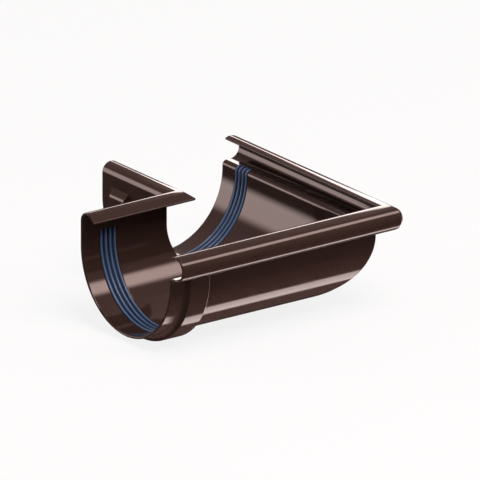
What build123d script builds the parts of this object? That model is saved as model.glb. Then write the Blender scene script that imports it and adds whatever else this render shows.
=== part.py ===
"""Gutter external angle: a moulded half-round corner with a ribbed rubber seal in each socket.

The trough axes of the two legs cross at right angles. One leg runs along -X and the other
along +Y, so the rolled bead is on the outside of the corner, at +X and -Y.
"""
import os
from math import cos, radians, sin

from build123d import *

# Trough, in millimetres. Heights are above the trough's axis, reaches are out from it.
trough_radius = 66.0  # inside, where a gutter slides in
wall = 2.4
leg_length = 161.5  # from the crossing of the trough axes to each open end

# Front edge: the wall turns over into a flat ledge, then rolls up into a C-shaped bead
ledge_height = 6.4
ledge_bend = 4.4  # of the inside face, where it turns over the ledge
bead_reach = 86.9
bead_radius = 12.2
bead_lip_angle = 118.5  # where the roll ends, counted from its outermost point
bead_corner_radius = 5.0  # in plan, at the outer corner

# Back edge: an upright wall with a flange folded in and down
back_height = 32.4
back_bend = 9.3
flange_slope = 37.0
flange_length = 8.2

# Seal: ribs that follow the section, on a flat strip
rib_count = 4
rib_pitch = 5.0
rib_width = 2.8  # at its root
rib_height = 2.4
rib_taper = 78.0  # slope of a rib's sides
seal_proud = 0.9  # rib crests above the trough's inside face
seal_gap = 0.1  # clearance behind and beside the seal

# Seal seat: a groove inside, and a band round it that stands proud outside
groove_from_end = 20.0
groove_depth = 5.6
band_side = 2.0  # wall on each side of the groove
band_ramp = 5.4  # concave run-up on the band's side that faces the open end
groove_top = 10.4  # the groove's upper end, on the back wall's inside face
band_top = 13.4  # the band's upper end, on the back wall's outside face
run_out_slope = 46.0  # both end in a slant at this angle

mid_wall = wall / 2
seal_width = rib_width + (rib_count - 1) * rib_pitch
groove_radius = trough_radius + groove_depth
band_radius = groove_radius + wall
groove_far = leg_length - groove_from_end
groove_near = groove_far - seal_width - 2 * seal_gap
seal_middle = (groove_far + groove_near) / 2
band_far = groove_far + band_side
band_near = groove_near - band_side
bead_centre = (bead_reach - bead_radius, ledge_height - wall + bead_radius)
ledge_bend_centre = (trough_radius + ledge_bend, ledge_height - ledge_bend)
mitre = Plane(origin=(0, 0, 0), x_dir=(0, 0, 1), z_dir=(1, 1, 0))


def strip_line(start, end):
    """Return the wall's section along a straight stretch of its middle line."""
    middle_line = Line(start, end)
    angle = middle_line.tangent_angle_at(0)
    return Pos(*(middle_line @ 0.5)) * Rot(0, 0, angle) * Rectangle(middle_line.length, wall)


def strip_arc(centre, radius, start_angle, arc_angle):
    """Return the wall's section along an arc of its middle line."""
    inner = CenterArc(centre, radius - mid_wall, start_angle, arc_angle)
    outer = CenterArc(centre, radius + mid_wall, start_angle, arc_angle)
    return make_face([inner, Line(inner @ 1, outer @ 1), outer, Line(outer @ 0, inner @ 0)])


def gutter_section():
    """Return the wall's section: trough, back wall, flange, ledge and bead."""
    middle = trough_radius + mid_wall
    section = strip_arc((0, 0), middle, 180, 180)

    bend = back_bend - mid_wall
    bend_centre = (bend - middle, back_height - back_bend)
    flange_angle = radians(90 - flange_slope)
    flange_start = (
        bend_centre[0] + bend * cos(flange_angle),
        bend_centre[1] + bend * sin(flange_angle),
    )
    flange_end = (
        flange_start[0] + flange_length * sin(flange_angle),
        flange_start[1] - flange_length * cos(flange_angle),
    )
    section += strip_line((-middle, 0), (-middle, bend_centre[1]))
    section += strip_arc(bend_centre, bend, 90 - flange_slope, 90 + flange_slope)
    section += strip_line(flange_start, flange_end)

    fold_x, fold_z = ledge_bend_centre
    ledge_middle = ledge_height - mid_wall
    section += strip_line((middle, 0), (middle, fold_z))
    section += strip_arc(ledge_bend_centre, ledge_bend - mid_wall, 90, 90)
    section += strip_line((fold_x, ledge_middle), (bead_centre[0], ledge_middle))
    section += strip_arc(bead_centre, bead_radius - mid_wall, -90, 90 + bead_lip_angle)
    return section


def run_out(top, reach):
    """Return the slanted plane that ends a seat on the back wall."""
    slope = radians(run_out_slope)
    return Plane(origin=(-reach, 0, top), z_dir=(-sin(slope), 0, cos(slope)))


def wrap(profile, front_height, back_plane):
    """Carry an axial profile round the trough, up the front and up the back to a slant."""
    front = extrude(profile, amount=front_height)
    bottom = revolve(profile, Axis.Y, 180)
    back = extrude(mirror(profile, about=Plane.YZ), amount=back_height)
    back = split(back, bisect_by=back_plane, keep=Keep.BOTTOM)
    return front + bottom + back


def seat_band():
    """Return the proud band, before its groove is cut, with the concave ramp to the socket."""
    foot = trough_radius + wall
    height = band_radius - foot
    ramp_end = band_far + band_ramp
    profile = make_face([
        Polyline(
            (foot - mid_wall, ramp_end),
            (foot - mid_wall, band_near),
            (band_radius, band_near),
            (band_radius, band_far),
        ),
        EllipticalCenterArc(
            (band_radius, ramp_end), height, band_ramp, start_angle=180, arc_size=90
        ),
        Line((foot, ramp_end), (foot - mid_wall, ramp_end)),
    ])
    return wrap(profile, ledge_height - mid_wall, run_out(band_top, foot))


def seat_groove():
    """Return the space that is cut for the seal, open to the trough and over the ledge."""
    depth = groove_depth + wall
    length = groove_far - groove_near
    profile = Pos(groove_radius - depth / 2, seal_middle) * Rectangle(depth, length)
    return wrap(profile, ledge_height + wall, run_out(groove_top, trough_radius))


def seal_profile():
    """Return the seal's axial profile: a strip with a row of tapered ribs facing the trough."""
    back = groove_radius - seal_gap
    crest = trough_radius - seal_proud
    strip_face = crest + rib_height
    strip_middle = ((back + strip_face) / 2, seal_middle)
    profile = Pos(*strip_middle) * Rectangle(back - strip_face, seal_width)
    rib = Rot(0, 0, 90) * Trapezoid(rib_width, rib_height, rib_taper)
    for index in range(rib_count):
        along = seal_middle + (index - (rib_count - 1) / 2) * rib_pitch
        profile += Pos(crest + rib_height / 2, along) * rib
    return profile


def seal():
    """Return the seal of one leg: round the trough, and folded over the ledge at the front."""
    profile = seal_profile()
    fold_x, fold_z = ledge_bend_centre
    upright = wrap(profile, fold_z, run_out(groove_top - seal_gap, trough_radius))
    facing = split(profile, bisect_by=Plane(origin=(fold_x, 0, 0), z_dir=(-1, 0, 0)))
    fold_axis = Axis((fold_x, 0, fold_z), (0, 1, 0))
    over = revolve(Pos(0, 0, fold_z) * facing, fold_axis, 90)
    level = (Pos(0, 0, fold_z) * facing).rotate(fold_axis, 90)
    tip = extrude(level, amount=groove_radius - seal_gap - fold_x, dir=(1, 0, 0))
    return upright + over + tip


def rounded_bead_corner():
    """Return the bead's turn round the outer corner, and the square block it replaces."""
    centre = bead_reach - bead_corner_radius
    top = bead_centre[1] + bead_radius
    block = Pos(centre, -centre, 0) * Box(
        bead_corner_radius * 2, bead_corner_radius * 2, top + wall,
        align=(Align.MIN, Align.MAX, Align.MIN),
    )
    beyond = Plane(origin=(centre, 0, 0), z_dir=(1, 0, 0))
    outer_part = split(Plane.XZ.offset(centre) * gutter_section(), bisect_by=beyond)
    turn = revolve(outer_part, Axis((centre, -centre, 0), (0, 0, -1)), 90)
    return turn, block


def angle_leg():
    """Return the leg along +Y, from the mitre to its open end, with its seal seat."""
    start = bead_reach + wall
    leg = extrude(Plane.XZ.offset(start) * gutter_section(), amount=-start - leg_length)
    return split(leg, bisect_by=mitre) + seat_band() - seat_groove()


def angle_body():
    """Return the whole moulding: two mirrored legs and the bead's rounded corner."""
    leg = angle_leg()
    turn, block = rounded_bead_corner()
    return leg + mirror(leg, about=mitre) - block + turn


# The origin is the middle of the whole thing's base, on the floor under the seat bands
to_origin = Pos((leg_length - bead_reach) / 2, (bead_reach - leg_length) / 2, band_radius)
right_seal = seal()
parts = {
    "angle_body": angle_body(),
    "seal_right_leg": right_seal,
    "seal_left_leg": mirror(right_seal, about=mitre),
}

os.makedirs("parts", exist_ok=True)
for name, shape in parts.items():
    export_step(to_origin * shape, f"parts/{name}.step")
    print(name, round(shape.volume), "mm3")
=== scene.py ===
import math

import bmesh
import bpy
from mathutils import Matrix, Vector


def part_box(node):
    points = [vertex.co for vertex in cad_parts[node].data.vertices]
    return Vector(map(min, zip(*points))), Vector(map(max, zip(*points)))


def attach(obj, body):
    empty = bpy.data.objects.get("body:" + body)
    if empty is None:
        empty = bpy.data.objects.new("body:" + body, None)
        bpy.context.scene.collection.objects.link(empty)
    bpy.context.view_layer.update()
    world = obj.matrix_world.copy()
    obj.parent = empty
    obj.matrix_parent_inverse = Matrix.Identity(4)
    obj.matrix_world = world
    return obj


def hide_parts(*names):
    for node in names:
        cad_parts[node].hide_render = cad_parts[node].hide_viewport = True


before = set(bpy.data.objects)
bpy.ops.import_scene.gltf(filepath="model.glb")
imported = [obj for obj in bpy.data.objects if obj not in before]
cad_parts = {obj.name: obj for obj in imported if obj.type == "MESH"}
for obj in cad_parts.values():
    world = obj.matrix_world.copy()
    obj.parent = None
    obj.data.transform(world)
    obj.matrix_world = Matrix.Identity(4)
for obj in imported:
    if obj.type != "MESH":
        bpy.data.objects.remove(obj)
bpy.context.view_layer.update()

mm = 0.001
hair = 0.001  # millimetres: heights closer than this count as the same
weld = 0.0005  # millimetres: points closer than this become one
sideways = Vector((1, 1, 0)).normalized()  # square to the corner's mitre plane

# The moulding, in millimetres and degrees: reaches and heights are from the trough's axis
moulding = dict(
    troughRadius=66.0, wall=2.4, legLength=161.5,
    ledgeHeight=6.4, ledgeBend=4.4,
    beadReach=86.9, beadRadius=12.2, beadLip=118.5, beadCorner=5.0,
    backHeight=32.4, backBend=9.3, flangeSlope=37.0, flangeLength=8.2,
    bandNear=121.5, bandFar=143.5, bandRamp=5.4, bandTop=13.4,
    grooveNear=123.5, grooveFar=141.5, grooveDepth=5.6, grooveTop=10.4,
    runOutSlope=46.0, kneeRound=5.5,
    edgeRound=0.9, edgeSegments=3,
    crease=32.0, roundedFrom=50.0,  # an edge is sharp from the one angle, and rounded from the other
    arcStep=3.0, turnStep=9, rampStep=10, kneeSteps=6,  # how finely the curves are drawn
)
cadLow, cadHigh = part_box("angle_body")
# Where the axes of the two troughs cross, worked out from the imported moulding's box
crossing = Vector((
    cadHigh.x - moulding["beadReach"] * mm,
    cadLow.y + moulding["beadReach"] * mm,
    cadHigh.z - moulding["backHeight"] * mm,
))


def lineTo(bm, pen, x, z):
    made = bmesh.ops.extrude_vert_indiv(bm, verts=[pen])["verts"][0]
    made.co = Vector((x, 0, z))
    return made


def arcTo(bm, pen, centre, degrees, steps):
    # Spins the pen's point in the section's plane, counted from +X towards +Z
    swept = bmesh.ops.spin(
        bm, geom=[pen], cent=(centre[0], 0, centre[1]), axis=(0, -1, 0), dvec=(0, 0, 0),
        angle=math.radians(degrees), steps=steps, use_merge=False, use_duplicate=False,
    )
    return next(part for part in swept["geom_last"] if isinstance(part, bmesh.types.BMVert))


def stepsFor(degrees, step):
    return max(2, round(abs(degrees) / step))


def polar(centre, radius, degrees):
    angle = math.radians(degrees)
    return centre[0] + radius * math.cos(angle), centre[1] + radius * math.sin(angle)


def sweepWire(bm, stations):
    # Carries the closed wire from station to station, leaving faces behind, and caps its last place
    home = bm.verts.layers.float_vector.new("home")
    for vert in bm.verts:
        vert[home] = vert.co
        vert.co = stations[0](vert[home])
    wire = list(bm.edges)
    for station in stations[1:]:
        made = bmesh.ops.extrude_edge_only(bm, edges=wire)["geom"]
        ends = {part for part in made if isinstance(part, bmesh.types.BMVert)}
        wire = [
            part for part in made
            if isinstance(part, bmesh.types.BMEdge) and ends.issuperset(part.verts)
        ]
        for vert in ends:
            vert.co = station(vert[home])
    bmesh.ops.contextual_create(bm, geom=wire)
    bmesh.ops.remove_doubles(bm, verts=bm.verts, dist=weld)


def otherLeg(bm, keepBoth):
    # Mirrors the leg along +Y in the mitre plane, so that it lies along -X
    flip = Matrix.Scale(-1, 4, sideways)
    if keepBoth:
        copied = bmesh.ops.duplicate(bm, geom=bm.verts[:] + bm.edges[:] + bm.faces[:])["geom"]
    else:
        copied = bm.verts[:] + bm.faces[:]
    verts = [part for part in copied if isinstance(part, bmesh.types.BMVert)]
    bmesh.ops.transform(bm, matrix=flip, verts=verts)
    bmesh.ops.remove_doubles(bm, verts=bm.verts, dist=weld)


def finishPiece(bm, name, material, nodeName):
    bmesh.ops.recalc_face_normals(bm, faces=bm.faces)
    bmesh.ops.transform(bm, matrix=Matrix.Scale(mm, 4), verts=bm.verts)
    bmesh.ops.translate(bm, vec=crossing, verts=bm.verts)
    for face in bm.faces:
        face.smooth = True
    mesh = bpy.data.meshes.new(name)
    bm.to_mesh(mesh)
    bm.free()
    piece = bpy.data.objects.new(name, mesh)
    bpy.context.scene.collection.objects.link(piece)
    mesh.materials.append(material)
    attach(piece, "root")
    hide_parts(nodeName)
    return piece


def runOutHeights(top, knee):
    # On the back wall, from a seat's top edge down its slant and round the knee to its full depth
    slope = math.radians(moulding["runOutSlope"])
    turn = math.pi / 2 - slope
    foot = top - moulding["grooveDepth"] * math.tan(slope) - knee * math.tan(turn / 2)
    steps = moulding["kneeSteps"] if knee else 0
    bends = [foot + knee * math.sin(turn * (steps - i) / steps) for i in range(steps)]
    return [top] + bends + [foot]


def pushOut(point, skin, step, top, knee):
    # Moves a point of the wall's skin out to a band's crest or a groove's floor
    full = moulding["grooveDepth"]
    end = top if point.x < 0 else moulding["ledgeHeight"]
    if step <= 0 or point.z > end + hair:
        return point.x, point.z
    if point.z < -hair:  # the half-round
        radius = math.hypot(point.x, point.z)
        scale = (radius + step) / radius
        return point.x * scale, point.z * scale
    if point.x > 0:  # the front wall and the ledge
        return max(point.x, skin + step), point.z
    if point.z < hair:
        return point.x - step, point.z
    lift = point.z - runOutHeights(top, knee)[-1]
    bend = math.sqrt(max(knee * knee - lift * lift, 0))
    reach = full - knee + bend if point.z < top - hair else 0
    return point.x - reach * step / full, top - (top - point.z) * step / full


def drawSkin(bm, radius, offset, step, top, knee):
    # Draws one face of the wall from the flange's free edge round to the bead's lip, with the
    # small bends in coarser steps than the half-round
    m = moulding
    bendCentre = (m["backBend"] - m["troughRadius"] - m["wall"], m["backHeight"] - m["backBend"])
    foldCentre = (m["troughRadius"] + m["ledgeBend"], m["ledgeHeight"] - m["ledgeBend"])
    beadCentre = (m["beadReach"] - m["beadRadius"], m["ledgeHeight"] - m["wall"] + m["beadRadius"])
    bend = m["backBend"] - m["wall"] + offset
    fold = m["ledgeBend"] - offset
    crown = 90 - m["flangeSlope"]
    crownPoint = polar(bendCentre, bend, crown)
    tip = polar(crownPoint, m["flangeLength"], -m["flangeSlope"])
    first = bm.verts.new((tip[0], 0, tip[1]))
    pen = lineTo(bm, first, *crownPoint)
    pen = arcTo(bm, pen, bendCentre, 180 - crown, stepsFor(180 - crown, step * 2))
    for height in runOutHeights(top, knee) + [0]:
        pen = lineTo(bm, pen, -radius, height)
    pen = arcTo(bm, pen, (0, 0), 180, stepsFor(180, step))
    pen = lineTo(bm, pen, radius, foldCentre[1])
    pen = arcTo(bm, pen, foldCentre, -90, stepsFor(90, step * 3))
    ledge = foldCentre[1] + fold
    pen = lineTo(bm, pen, radius + m["grooveDepth"], ledge)
    pen = lineTo(bm, pen, beadCentre[0], ledge)
    turn = 90 + m["beadLip"]
    return first, arcTo(bm, pen, beadCentre, turn, stepsFor(turn, step * 2))


def makeAngleBody(material):
    m = moulding
    bm = bmesh.new()
    inside = m["troughRadius"]
    outside = inside + m["wall"]
    innerEnds = drawSkin(bm, inside, 0, m["arcStep"], m["grooveTop"], 0)
    innerVerts = set(bm.verts)
    outerEnds = drawSkin(bm, outside, m["wall"], m["arcStep"], m["bandTop"], m["kneeRound"])
    for pair in zip(innerEnds, outerEnds):
        bm.edges.new(pair)
    for vert in bm.verts:
        vert.co.y = 0 if vert in innerVerts else 1  # remembers which face of the wall it is on

    turnCentre = m["beadReach"] - m["beadCorner"]
    halfTurn = 45  # each leg has half of the bead's turn round the corner, up to the mitre plane

    def station(along, band, groove, turn=0):
        # Without a distance along the leg, the section stands on the mitre plane or in the turn
        def place(home):
            if home.y < 0.5:
                u, z = pushOut(home, inside, groove, m["grooveTop"], 0)
            else:
                u, z = pushOut(home, outside, band, m["bandTop"], m["kneeRound"])
            if along is not None:
                return Vector((u, along, z))
            if u <= turnCentre:
                return Vector((u, -u, z))
            x, y = polar((turnCentre, -turnCentre), u - turnCentre, -turn)
            return Vector((x, y, z))
        return place

    depth = m["grooveDepth"]
    rampEnd = m["bandFar"] + m["bandRamp"]
    stations = [station(None, 0, 0, turn) for turn in range(halfTurn, -1, -m["turnStep"])]
    stations += [station(m["bandNear"], band, 0) for band in (0, depth)]
    stations += [station(m["grooveNear"], depth, groove) for groove in (0, depth)]
    stations += [station(m["grooveFar"], depth, groove) for groove in (depth, 0)]
    for degrees in range(90, -1, -m["rampStep"]):
        swing = math.radians(degrees)
        along = rampEnd - m["bandRamp"] * math.sin(swing)
        stations.append(station(along, depth * (1 - math.cos(swing)), 0))
    stations.append(station(m["legLength"], 0, 0))
    sweepWire(bm, stations)
    otherLeg(bm, True)
    crease, roundedFrom = math.radians(m["crease"]), math.radians(m["roundedFrom"])
    for edge in bm.edges:
        edge.smooth = not crease < edge.calc_face_angle() < roundedFrom
    piece = finishPiece(bm, "cornerMoulding", material, "angle_body")
    rounding = piece.modifiers.new("edgeRound", "BEVEL")
    rounding.width = m["edgeRound"] * mm
    rounding.segments = m["edgeSegments"]
    rounding.profile = 0.5
    rounding.limit_method = "ANGLE"
    rounding.angle_limit = roundedFrom
    rounding.use_clamp_overlap = False  # a band's sides run out to nothing, which would clamp it all
    rounding.harden_normals = True


# The seal, in millimetres and degrees: ribs on a strip, folded over the ledge at the front
seal = dict(
    ribs=4, pitch=5.0, ribWidth=2.8, crestWidth=1.8, ribHeight=2.4, crestRound=0.7, rootRound=0.3,
    proud=0.9, gap=0.1, arcStep=3.0, foldStep=10, crestSteps=6,
)


def drawSealProfile(bm, back, crest):
    # Section across the ribs, x out from the trough's axis and z along the leg from its middle
    s = seal
    floor = crest + s["ribHeight"]
    half = (s["ribWidth"] + (s["ribs"] - 1) * s["pitch"]) / 2
    taper = (s["ribWidth"] - s["crestWidth"]) / 2
    first = bm.verts.new((back, 0, -half))
    pen = lineTo(bm, first, back, half)
    for rib in reversed(range(s["ribs"])):
        middle = (rib - (s["ribs"] - 1) / 2) * s["pitch"]
        inner = crest + s["crestRound"]
        side = s["crestWidth"] / 2
        if rib < s["ribs"] - 1:
            pen = lineTo(bm, pen, floor, middle + side + taper + s["rootRound"])
            pen = lineTo(bm, pen, floor - s["rootRound"], middle + side + taper)
        else:
            pen = lineTo(bm, pen, floor, half)
        pen = lineTo(bm, pen, inner, middle + side)
        pen = arcTo(bm, pen, (inner, middle + side - s["crestRound"]), 90, s["crestSteps"])
        pen = lineTo(bm, pen, crest, middle - side + s["crestRound"])
        pen = arcTo(bm, pen, (inner, middle - side + s["crestRound"]), 90, s["crestSteps"])
        if rib > 0:
            pen = lineTo(bm, pen, floor - s["rootRound"], middle - side - taper)
            pen = lineTo(bm, pen, floor, middle - side - taper - s["rootRound"])
        else:
            pen = lineTo(bm, pen, floor, -half)
    bm.edges.new((pen, first))


def makeSeal(name, nodeName, material, onLeftLeg):
    m, s = moulding, seal
    back = m["troughRadius"] + m["grooveDepth"] - s["gap"]
    crest = m["troughRadius"] - s["proud"]
    foldX = m["troughRadius"] + m["ledgeBend"]
    foldZ = m["ledgeHeight"] - m["ledgeBend"]
    middle = (m["grooveNear"] + m["grooveFar"]) / 2
    rise = math.tan(math.radians(m["runOutSlope"]))
    bm = bmesh.new()
    drawSealProfile(bm, back, crest)

    def overLedge(swing):
        def place(home):
            if home.x >= foldX:
                return Vector((home.x, middle + home.z, foldZ))
            x, z = polar((foldX, foldZ), foldX - home.x, swing)
            return Vector((x, middle + home.z, z))
        return place

    def tipEnd(home):
        return Vector((back, middle + home.z, foldZ + max(foldX - home.x, 0)))

    def roundTrough(swing):
        def place(home):
            x, z = polar((0, 0), home.x, swing)
            return Vector((x, middle + home.z, z))
        return place

    def backEnd(home):
        slant = m["grooveTop"] - s["gap"] - (home.x - m["troughRadius"]) * rise
        return Vector((-home.x, middle + home.z, slant))

    stations = [tipEnd] + [overLedge(swing) for swing in range(90, 181, s["foldStep"])]
    turns = stepsFor(180, s["arcStep"])
    stations += [roundTrough(-180 * turn / turns) for turn in range(turns + 1)]
    stations.append(backEnd)
    bmesh.ops.contextual_create(bm, geom=bm.edges[:])
    sweepWire(bm, stations)
    if onLeftLeg:
        otherLeg(bm, False)
    finishPiece(bm, name, material, nodeName)


def hexColour(code):
    # sRGB hex to the linear values that a shader socket takes
    channels = [int(code[i:i + 2], 16) / 255 for i in (1, 3, 5)]
    return [c / 12.92 if c <= 0.04045 else ((c + 0.055) / 1.055) ** 2.4 for c in channels] + [1]


def addNode(tree, kind, settings=None, inputs=None, links=None):
    node = tree.nodes.new(kind)
    for key, value in (settings or {}).items():
        setattr(node, key, value)
    for key, value in (inputs or {}).items():
        node.inputs[key].default_value = value
    for key, source in (links or {}).items():
        tree.links.new(source, node.inputs[key])
    return node


def newMaterial(name):
    material = bpy.data.materials.new(name)
    material.use_nodes = True
    material.node_tree.nodes.clear()
    return material, material.node_tree


def perMetre(sizeInMillimetres):
    return 1000 / sizeInMillimetres  # a pattern's scale from the real size of one repeat


# Rigid PVC, injection moulded in a polished tool: a dark brown body under a clear, mirror-like
# skin, a little hazy in places and rippled by a few thousandths of a millimetre
brownPvc = dict(
    deep="#30211E", warm="#362722", patchSize=38.0, hazeSize=24.0, hazeFrom=0.35, hazeTo=0.7,
    glossy=0.07, hazy=0.12, sheen="#FFE8E3", ior=1.53,
    rippleSize=9.0, rippleHeight=0.005, rippleStrength=0.6,
)


def makeBrownPvc():
    p = brownPvc
    material, tree = newMaterial("injectionMouldedPvc")
    place = addNode(tree, "ShaderNodeTexCoord")
    patches = addNode(
        tree, "ShaderNodeTexNoise", inputs={"Scale": perMetre(p["patchSize"]), "Detail": 3.0},
        links={"Vector": place.outputs["Object"]},
    )
    colour = addNode(
        tree, "ShaderNodeMix", {"data_type": "RGBA"},
        {6: hexColour(p["deep"]), 7: hexColour(p["warm"])}, {0: patches.outputs["Fac"]},
    )
    haze = addNode(
        tree, "ShaderNodeTexNoise", inputs={"Scale": perMetre(p["hazeSize"]), "Detail": 4.0},
        links={"Vector": place.outputs["Object"]},
    )
    gloss = addNode(
        tree, "ShaderNodeMapRange",
        inputs={
            "From Min": p["hazeFrom"], "From Max": p["hazeTo"],
            "To Min": p["glossy"], "To Max": p["hazy"],
        },
        links={"Value": haze.outputs["Fac"]},
    )
    ripple = addNode(
        tree, "ShaderNodeTexNoise", inputs={"Scale": perMetre(p["rippleSize"]), "Detail": 1.0},
        links={"Vector": place.outputs["Object"]},
    )
    bump = addNode(
        tree, "ShaderNodeBump",
        inputs={"Strength": p["rippleStrength"], "Distance": p["rippleHeight"] * mm},
        links={"Height": ripple.outputs["Fac"]},
    )
    shader = addNode(
        tree, "ShaderNodeBsdfPrincipled",
        inputs={"IOR": p["ior"], "Specular Tint": hexColour(p["sheen"])},
        links={
            "Base Color": colour.outputs[2], "Roughness": gloss.outputs["Result"],
            "Normal": bump.outputs["Normal"],
        },
    )
    addNode(tree, "ShaderNodeOutputMaterial", links={"Surface": shader.outputs["BSDF"]})
    return material


# EPDM rubber, moulded: the base colour is a pale satin blue on the rib crests and falls to dark navy
# down in the matt channels, which is painted highlight on the crests and painted shade in the
# channels. Depths are below the crests
blueEpdm = dict(
    channelShade="#172B4E", deep="#465C7C", pale="#5C7393", patchSize=14.0,
    crestHighlightDepth=0.4, channelShadeDepth=1.5, rubbed=0.31, dusty=0.8, ior=1.5,
    grainSize=0.7, grainHeight=0.02, grainStrength=0.5,
)


def makeBlueEpdm():
    p = blueEpdm
    material, tree = newMaterial("mouldedEpdmRubber")
    place = addNode(tree, "ShaderNodeTexCoord")
    patches = addNode(
        tree, "ShaderNodeTexNoise", inputs={"Scale": perMetre(p["patchSize"]), "Detail": 4.0},
        links={"Vector": place.outputs["Object"]},
    )
    crests = addNode(
        tree, "ShaderNodeMix", {"data_type": "RGBA"},
        {6: hexColour(p["deep"]), 7: hexColour(p["pale"])}, {0: patches.outputs["Fac"]},
    )
    profile = addNode(tree, "ShaderNodeAttribute", {"attribute_name": "home"})
    across = addNode(tree, "ShaderNodeSeparateXYZ", links={"Vector": profile.outputs["Vector"]})
    crest = moulding["troughRadius"] - seal["proud"]
    depth = addNode(
        tree, "ShaderNodeMapRange",
        inputs={"From Min": crest + p["crestHighlightDepth"], "From Max": crest + p["channelShadeDepth"]},
        links={"Value": across.outputs["X"]},
    )
    # The colour falls from the crests' tone to the dark navy with depth: painted highlight on the
    # crests, painted shade in the channels
    colour = addNode(
        tree, "ShaderNodeMix", {"data_type": "RGBA"}, {7: hexColour(p["channelShade"])},
        {0: depth.outputs["Result"], 6: crests.outputs[2]},
    )
    dust = addNode(
        tree, "ShaderNodeMapRange", inputs={"To Min": p["rubbed"], "To Max": p["dusty"]},
        links={"Value": depth.outputs["Result"]},
    )
    grain = addNode(
        tree, "ShaderNodeTexNoise", inputs={"Scale": perMetre(p["grainSize"]), "Detail": 2.0},
        links={"Vector": place.outputs["Object"]},
    )
    bump = addNode(
        tree, "ShaderNodeBump",
        inputs={"Strength": p["grainStrength"], "Distance": p["grainHeight"] * mm},
        links={"Height": grain.outputs["Fac"]},
    )
    shader = addNode(
        tree, "ShaderNodeBsdfPrincipled", inputs={"IOR": p["ior"]},
        links={
            "Base Color": colour.outputs[2], "Roughness": dust.outputs["Result"],
            "Normal": bump.outputs["Normal"],
        },
    )
    addNode(tree, "ShaderNodeOutputMaterial", links={"Surface": shader.outputs["BSDF"]})
    return material


# The studio: directions are degrees round from +X and up from the floor, lengths are metres
studio = dict(
    floorSize=12.0, floorHex="#F0F0F0", floorGlow=0.85, fillHex="#8C8C8C", lampHex="#FFF1EE",
    boxDistance=4.0, cameraDistance=2.0, cameraAzimuth=-126.53, cameraHeight=19.43,
    frameWidth=0.4317, aimRight=-0.0269, aimUp=-0.0096,
)
# Where each softbox hangs, how many degrees it and its soft rim span as the object sees it, and
# its radiance. Only a gloss sees the two below the floor
softboxes = {
    "topBox": dict(azimuth=-95, height=62, across=30, tall=30, rim=6, radiance=9.0),
    "sideBox": dict(azimuth=-43, height=39, across=16.5, tall=14, rim=6, radiance=6.8),
    "lowBox": dict(azimuth=127, height=6.0, across=25, tall=27.0, rim=10, radiance=3.8),
    "backBox": dict(azimuth=50, height=20.0, across=15, tall=5.5, rim=2, radiance=7.2),
    "underBox": dict(azimuth=0, height=-30, across=15.6, tall=58, rim=2, radiance=3.8),
    "edgeBox": dict(azimuth=24, height=-30, across=14, tall=14, rim=4, radiance=8.0),
}


def directionTo(azimuth, height):
    a, h = math.radians(azimuth), math.radians(height)
    return Vector((math.cos(a) * math.cos(h), math.sin(a) * math.cos(h), math.sin(h)))


def aimAlong(thing, towards):
    thing.rotation_euler = towards.to_track_quat("-Z", "Y").to_euler()


def makeSoftbox(name, box):
    # A rectangle of cloth that fades to nothing over its rim
    lamp = bpy.data.lights.new(name, "AREA")
    lamp.shape = "RECTANGLE"
    lamp.size, lamp.size_y = (
        2 * studio["boxDistance"] * math.tan(math.radians((box[side] + box["rim"]) / 2))
        for side in ("across", "tall")
    )
    # An area lamp of radiance L gives L * pi * its area, in watts
    lamp.energy = box["radiance"] * math.pi * lamp.size * lamp.size_y
    lamp.color = hexColour(studio["lampHex"])[:3]
    lamp.use_nodes = True
    tree = lamp.node_tree
    tree.nodes.clear()
    spot = addNode(tree, "ShaderNodeNewGeometry")
    sides = addNode(tree, "ShaderNodeSeparateXYZ", links={"Vector": spot.outputs["Parametric"]})
    fades = []
    for axis, side in (("X", "across"), ("Y", "tall")):
        inward = addNode(
            tree, "ShaderNodeMath", {"operation": "PINGPONG"}, {1: 0.5}, {0: sides.outputs[axis]},
        )
        fades.append(addNode(
            tree, "ShaderNodeMapRange", {"interpolation_type": "SMOOTHSTEP"},
            {"From Max": box["rim"] / (box[side] + box["rim"])}, {"Value": inward.outputs[0]},
        ).outputs["Result"])
    glow = addNode(
        tree, "ShaderNodeMath", {"operation": "MULTIPLY"}, links={0: fades[0], 1: fades[1]},
    )
    cloth = addNode(tree, "ShaderNodeEmission", links={"Strength": glow.outputs[0]})
    addNode(tree, "ShaderNodeOutputLight", links={"Surface": cloth.outputs[0]})
    holder = bpy.data.objects.new(name, lamp)
    bpy.context.scene.collection.objects.link(holder)
    towards = directionTo(box["azimuth"], box["height"])
    holder.location = crossing + towards * studio["boxDistance"]
    aimAlong(holder, -towards)


def seenDirectly(tree, path):
    # 1 for a ray that comes straight from the camera or through glass
    return addNode(
        tree, "ShaderNodeMath", {"operation": "MAXIMUM"},
        links={0: path.outputs["Is Camera Ray"], 1: path.outputs["Is Transmission Ray"]},
    ).outputs[0]


# The white set is dimmer in a gloss than to the camera, as the photograph's own reflections show.
# These are its tones there, from straight below (0) to straight above (1)
glossTones = {0.0: "#B58A84", 0.22: "#483A38", 0.5: "#6A5A56", 0.7: "#A08C88", 0.9: "#B09C98"}
# The camera's side is dark in a gloss. The shares are the cosine of the angle off this azimuth
darkSide = dict(azimuth=-153.4, clearBelow=0.26, fullAbove=0.42, tone="#1C1412")


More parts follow.
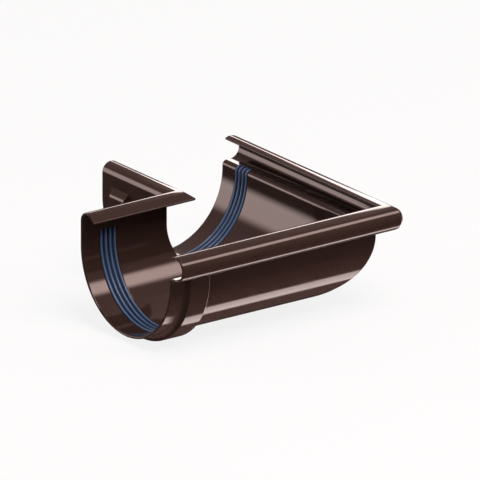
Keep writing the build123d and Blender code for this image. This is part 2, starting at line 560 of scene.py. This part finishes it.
def makeWorld():
    world = bpy.data.worlds.new("whiteStudio")
    world.use_nodes = True
    tree = world.node_tree
    tree.nodes.clear()
    path = addNode(tree, "ShaderNodeLightPath")
    place = addNode(tree, "ShaderNodeTexCoord")
    heading = addNode(tree, "ShaderNodeSeparateXYZ", links={"Vector": place.outputs["Generated"]})
    rise = addNode(
        tree, "ShaderNodeMapRange", inputs={"From Min": -1.0}, links={"Value": heading.outputs["Z"]},
    )
    inGloss = addNode(tree, "ShaderNodeValToRGB", links={"Fac": rise.outputs["Result"]})
    stops = inGloss.color_ramp.elements
    stops.remove(stops[1])
    for height, tone in glossTones.items():
        stop = stops.new(height) if height else stops[0]
        stop.color = hexColour(tone)
    facing = addNode(
        tree, "ShaderNodeVectorMath", {"operation": "DOT_PRODUCT"},
        {1: directionTo(darkSide["azimuth"], 0)}, {0: place.outputs["Generated"]},
    )
    shade = addNode(
        tree, "ShaderNodeMapRange",
        inputs={"From Min": darkSide["clearBelow"], "From Max": darkSide["fullAbove"]},
        links={"Value": facing.outputs["Value"]},
    )
    shaded = addNode(
        tree, "ShaderNodeMix", {"data_type": "RGBA"}, {7: hexColour(darkSide["tone"])},
        {0: shade.outputs["Result"], 6: inGloss.outputs["Color"]},
    )
    indirect = addNode(
        tree, "ShaderNodeMix", {"data_type": "RGBA"}, {6: hexColour(studio["fillHex"])},
        {0: path.outputs["Is Glossy Ray"], 7: shaded.outputs[2]},
    )
    colour = addNode(
        tree, "ShaderNodeMix", {"data_type": "RGBA"}, {7: (1, 1, 1, 1)},
        {0: seenDirectly(tree, path), 6: indirect.outputs[2]},
    )
    light = addNode(
        tree, "ShaderNodeBackground", inputs={"Strength": 1.0}, links={"Color": colour.outputs[2]},
    )
    addNode(tree, "ShaderNodeOutputWorld", links={"Surface": light.outputs[0]})
    bpy.context.scene.world = world


def makeFloor():
    bm = bmesh.new()
    bmesh.ops.create_grid(bm, x_segments=1, y_segments=1, size=studio["floorSize"] / 2)
    mesh = bpy.data.meshes.new("studioFloor")
    bm.to_mesh(mesh)
    bm.free()
    floor = bpy.data.objects.new("studioFloor", mesh)
    floor.visible_glossy = False  # a gloss sees the set and the softboxes below in its place
    bpy.context.scene.collection.objects.link(floor)
    material, tree = newMaterial("paleFloor")
    matt = addNode(tree, "ShaderNodeBsdfDiffuse", inputs={"Color": hexColour(studio["floorHex"])})
    glow = addNode(tree, "ShaderNodeEmission", inputs={"Strength": 1.0})
    share = addNode(
        tree, "ShaderNodeMath", {"operation": "MULTIPLY"}, {1: studio["floorGlow"]},
        {0: seenDirectly(tree, addNode(tree, "ShaderNodeLightPath"))},
    )
    mixed = addNode(
        tree, "ShaderNodeMixShader",
        links={0: share.outputs[0], 1: matt.outputs[0], 2: glow.outputs[0]},
    )
    addNode(tree, "ShaderNodeOutputMaterial", links={"Surface": mixed.outputs[0]})
    mesh.materials.append(material)


def makeCamera():
    lens = bpy.data.cameras.new("mainCamera")
    lens.type = "ORTHO"
    lens.ortho_scale = studio["frameWidth"]
    camera = bpy.data.objects.new("mainCamera", lens)
    bpy.context.scene.collection.objects.link(camera)
    towards = directionTo(studio["cameraAzimuth"], studio["cameraHeight"])
    aimAlong(camera, -towards)
    across = Vector((-towards.y, towards.x, 0)).normalized()
    upwards = towards.cross(across)
    aim = crossing + across * studio["aimRight"] + upwards * studio["aimUp"]
    camera.location = aim + towards * studio["cameraDistance"]
    bpy.context.scene.camera = camera


brownPlastic = makeBrownPvc()
blueRubber = makeBlueEpdm()
print("materials made")
makeAngleBody(brownPlastic)
print("corner moulding made")
makeSeal("rightSeal", "seal_right_leg", blueRubber, False)
makeSeal("leftSeal", "seal_left_leg", blueRubber, True)
print("seals made")
makeWorld()
makeFloor()
for name, box in softboxes.items():
    makeSoftbox(name, box)
makeCamera()
bpy.context.scene.view_settings.view_transform = "Standard"
print("studio made")
